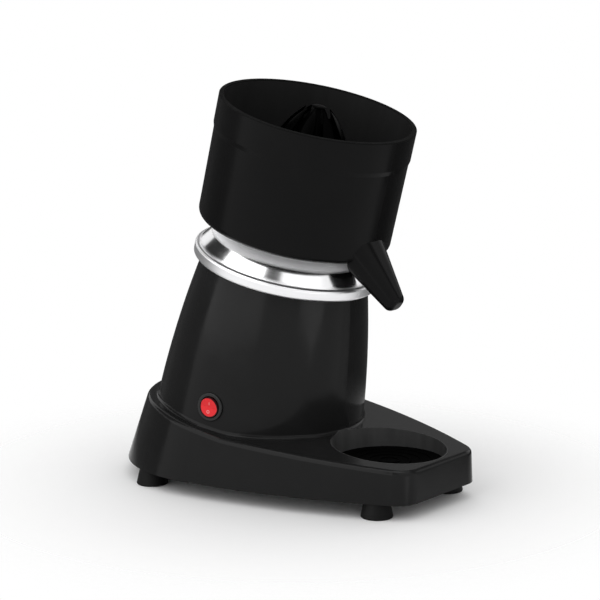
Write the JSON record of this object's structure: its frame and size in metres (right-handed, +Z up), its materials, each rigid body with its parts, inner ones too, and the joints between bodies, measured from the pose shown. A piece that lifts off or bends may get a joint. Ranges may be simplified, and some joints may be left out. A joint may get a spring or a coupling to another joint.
{
  "type": "electric citrus juicer",
  "caption": "Bar citrus juicer: leaning motor tower on a pear-shaped base, polished collar, deep bowl with a low spout over a cup recess, ribbed reamer and a rocker switch.",
  "frame": {"origin": "on the floor, under the middle of the base", "axes": "+X towards the spout and cup recess, +Y to the left side, +Z up"},
  "size_m": [0.3196, 0.217, 0.3499],
  "materials": {
    "black_gloss": "gloss moulded",
    "black_bowl": "gloss moulded",
    "black_matt": "fine matt",
    "black_rubber": "soft matt",
    "polished_aluminium": "turned and polished",
    "cast_aluminium": "as cast",
    "steel": "machined",
    "lamination": "stacked sheet",
    "winding": "varnished wire",
    "red_rocker": "gloss moulded",
    "brass_blade": "plain",
    "pale_plastic": "fine matt"
  },
  "bodies": {
    "stand": {"housing": "black_gloss", "cable_gland": "black_matt", "gland_locknut": "black_matt", "switch_body": "black_matt", "bottom_plate": "black_matt", "foot_rear_right": "black_rubber", "foot_rear_left": "black_rubber", "foot_front_right": "black_rubber", "foot_front_left": "black_rubber", "collar_gasket": "black_rubber", "shaft_seal": "black_rubber", "collar_ring": "polished_aluminium", "upper_end_shield": "cast_aluminium", "lower_end_shield": "cast_aluminium", "upper_bearing": "steel", "lower_bearing": "steel", "collar_screws": "steel", "motor_screws": "steel", "foot_screws": "steel", "bottom_plate_screws": "steel", "motor_tie_bolts": "steel", "switch_pivot_pin": "steel", "capacitor_clip": "steel", "stator_core": "lamination", "upper_winding": "winding", "lower_winding": "winding", "switch_terminals": "brass_blade", "run_capacitor": "pale_plastic", "terminal_block": "pale_plastic"},
    "rotor": {"motor_shaft": "steel", "rotor_core": "lamination", "cooling_fan": "black_matt", "drive_pin": "steel"},
    "bowl": {"bowl": "black_bowl", "spout": "black_bowl"},
    "strainer": {"strainer": "black_matt"},
    "reamer": {"reamer": "black_matt"},
    "rocker": {"switch_rocker": "red_rocker"},
    "mat": {"drip_mat": "black_rubber"}
  },
  "joints": [
    {"name": "shaft_spin", "type": "hinge", "parent": "stand", "child": "rotor", "pos_m": [-0.0573, 0, 0], "axis": [0.2462, 0, 0.9692], "continuous": true},
    {"name": "bowl_lift", "type": "slide", "parent": "stand", "child": "bowl", "axis": [0.2462, 0, 0.9692], "range_m": [0, 0.06]},
    {"name": "strainer_lift", "type": "slide", "parent": "bowl", "child": "strainer", "axis": [0.2462, 0, 0.9692], "range_m": [0, 0.09]},
    {"name": "reamer_lift", "type": "slide", "parent": "rotor", "child": "reamer", "axis": [0.2462, 0, 0.9692], "range_m": [0, 0.198]},
    {"name": "rocker_tilt", "type": "hinge", "parent": "stand", "child": "rocker", "pos_m": [-0.02122, -0.08897, 0.07857], "axis": [-0.9686, -0.1392, 0.2059], "range_deg": [0, 16]},
    {"name": "mat_lift", "type": "slide", "parent": "stand", "child": "mat", "axis": [0, 0, 1], "range_m": [0, 0.03]}
  ],
  "couplings": [
    {"joint": "strainer_lift", "follows": "bowl_lift", "ratio": 1.5},
    {"joint": "reamer_lift", "follows": "bowl_lift", "ratio": 3.3}
  ]
}
